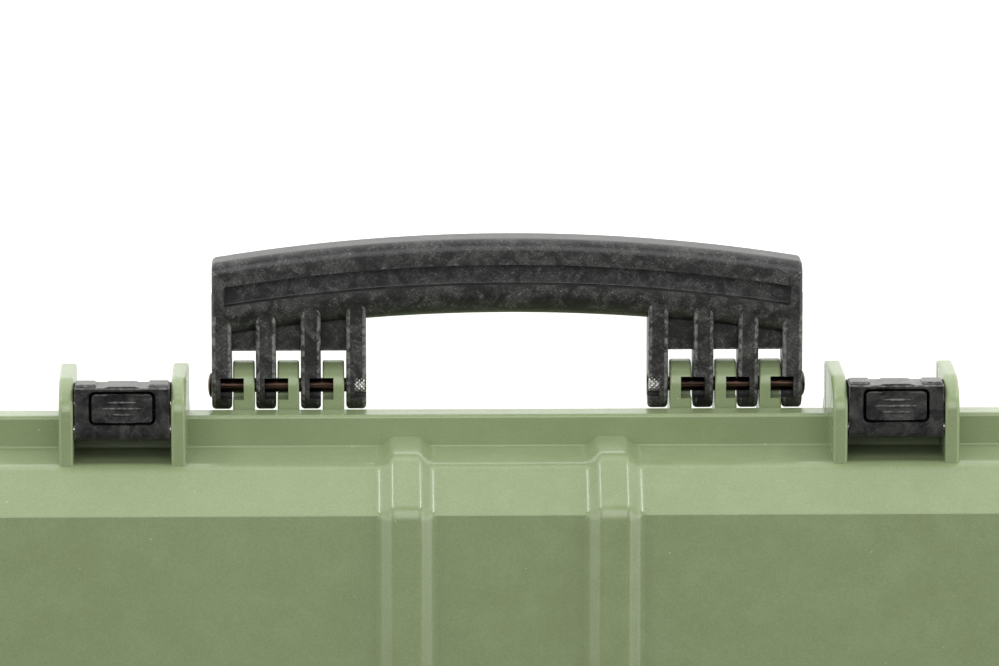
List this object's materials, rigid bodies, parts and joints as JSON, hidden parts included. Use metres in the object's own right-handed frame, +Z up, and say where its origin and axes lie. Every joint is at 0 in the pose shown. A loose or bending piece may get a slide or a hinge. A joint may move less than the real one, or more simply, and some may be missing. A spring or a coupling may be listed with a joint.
{
  "type": "long hard gun case",
  "caption": "Long moulded hard gun case with a hinged ribbed lid, folding carry handle, press-and-pull latches, gasket and foam pads.",
  "frame": {"origin": "centre of the base's bottom face, on which the closed case stands", "axes": "+X along the length, -Y to the front with handle and latches, +Z up through the lid"},
  "size_m": [1.2, 0.5001, 0.1892],
  "materials": {
    "olive_shell": "fine moulded texture, olive green",
    "black_nylon": "glass-filled nylon, black with grey flow marks",
    "dark_steel": "blackened steel",
    "steel": "bright stainless",
    "gasket_rubber": "matt black",
    "foam": "open-cell polyurethane foam, charcoal"
  },
  "bodies": {
    "base": {"base_shell": "olive_shell", "base_foam": "foam", "valve_body": "black_nylon", "valve_cap": "black_nylon", "hinge_pin_1": "steel", "hinge_pin_2": "steel", "hinge_pin_3": "steel"},
    "lid": {"lid_shell": "olive_shell", "lid_foam": "foam", "gasket": "gasket_rubber", "latch_pin_1": "steel", "latch_pin_2": "steel", "latch_pin_3": "steel", "latch_pin_4": "steel"},
    "handle": {"handle_bail": "black_nylon", "handle_pin_1": "dark_steel", "handle_pin_2": "dark_steel"},
    "latch_1": {"latch_lever_1": "black_nylon", "latch_spring_1": "steel"},
    "button_1": {"latch_button_1": "black_nylon"},
    "latch_2": {"latch_lever_2": "black_nylon", "latch_spring_2": "steel"},
    "button_2": {"latch_button_2": "black_nylon"},
    "latch_3": {"latch_lever_3": "black_nylon", "latch_spring_3": "steel"},
    "button_3": {"latch_button_3": "black_nylon"},
    "latch_4": {"latch_lever_4": "black_nylon", "latch_spring_4": "steel"},
    "button_4": {"latch_button_4": "black_nylon"}
  },
  "joints": [
    {"name": "lid_hinge", "type": "hinge", "parent": "base", "child": "lid", "pos_m": [0, 0.2175, 0.125], "axis": [-1, 0, 0], "range_deg": [0, 105]},
    {"name": "handle_hinge", "type": "hinge", "parent": "base", "child": "handle", "pos_m": [0, -0.2176, 0.114], "axis": [1, 0, 0], "range_deg": [-76, 80]},
    {"name": "latch_1_pivot", "type": "hinge", "parent": "lid", "child": "latch_1", "pos_m": [-0.4425, -0.209, 0.161], "axis": [-1, 0, 0], "range_deg": [0, 85]},
    {"name": "button_1_press", "type": "slide", "parent": "latch_1", "child": "button_1", "axis": [0, 0, -1], "range_m": [0, 0.003], "stiffness_N_per_m": 600, "springref_m": -0.002, "deforming": ["latch_spring_1"]},
    {"name": "latch_2_pivot", "type": "hinge", "parent": "lid", "child": "latch_2", "pos_m": [-0.1482, -0.209, 0.161], "axis": [-1, 0, 0], "range_deg": [0, 85]},
    {"name": "button_2_press", "type": "slide", "parent": "latch_2", "child": "button_2", "axis": [0, 0, -1], "range_m": [0, 0.003], "stiffness_N_per_m": 600, "springref_m": -0.002, "deforming": ["latch_spring_2"]},
    {"name": "latch_3_pivot", "type": "hinge", "parent": "lid", "child": "latch_3", "pos_m": [0.1482, -0.209, 0.161], "axis": [-1, 0, 0], "range_deg": [0, 85]},
    {"name": "button_3_press", "type": "slide", "parent": "latch_3", "child": "button_3", "axis": [0, 0, -1], "range_m": [0, 0.003], "stiffness_N_per_m": 600, "springref_m": -0.002, "deforming": ["latch_spring_3"]},
    {"name": "latch_4_pivot", "type": "hinge", "parent": "lid", "child": "latch_4", "pos_m": [0.4425, -0.209, 0.161], "axis": [-1, 0, 0], "range_deg": [0, 85]},
    {"name": "button_4_press", "type": "slide", "parent": "latch_4", "child": "button_4", "axis": [0, 0, -1], "range_m": [0, 0.003], "stiffness_N_per_m": 600, "springref_m": -0.002, "deforming": ["latch_spring_4"]}
  ]
}
